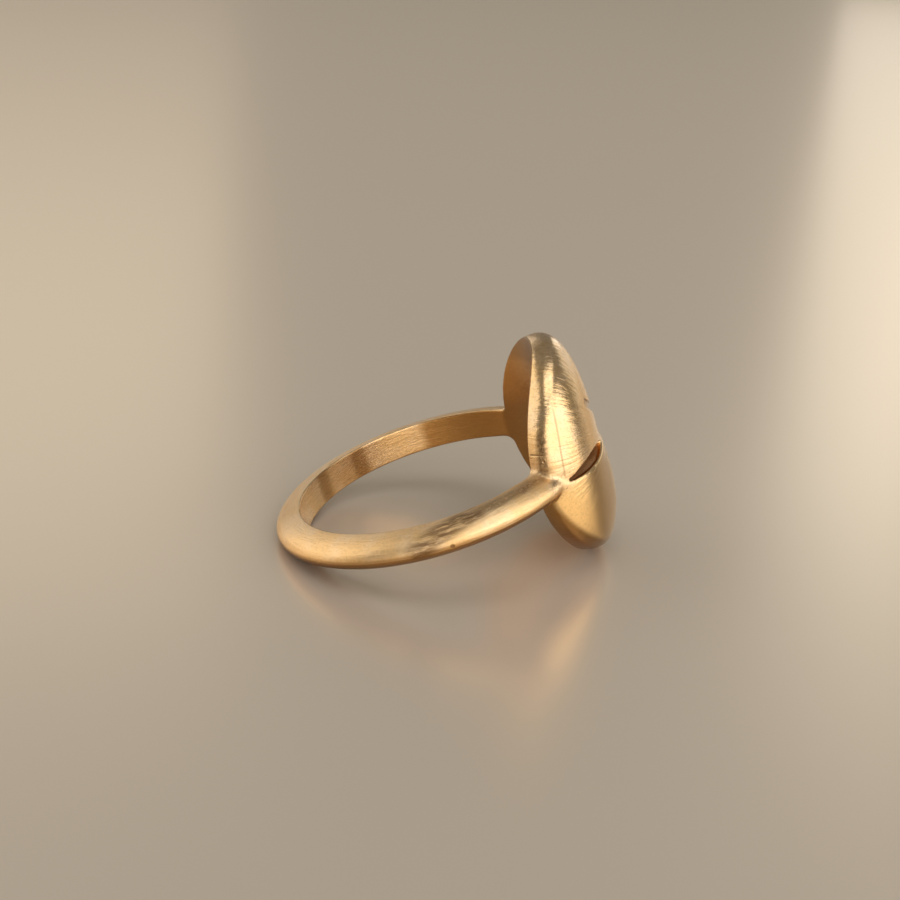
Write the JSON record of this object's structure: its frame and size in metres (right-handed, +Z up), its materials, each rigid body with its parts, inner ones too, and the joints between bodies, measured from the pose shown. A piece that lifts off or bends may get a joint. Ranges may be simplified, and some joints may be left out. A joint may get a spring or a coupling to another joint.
{
  "type": "dome ring",
  "caption": "Finger ring with a round, solid pillow-shaped head, parted by two slits and a groove across its front, on a plain half-oval shank; it lies on its side.",
  "frame": {"origin": "centre of the finger hole", "axes": "+X towards the head, +Z up from the table the ring lies on; the finger hole's axis leans from +Z towards -X by the ring's resting tilt"},
  "size_m": [0.0213, 0.02, 0.0133],
  "materials": {
    "gold": "brushed gold, satin"
  },
  "bodies": {
    "root": {"ring": "gold"}
  },
  "joints": []
}
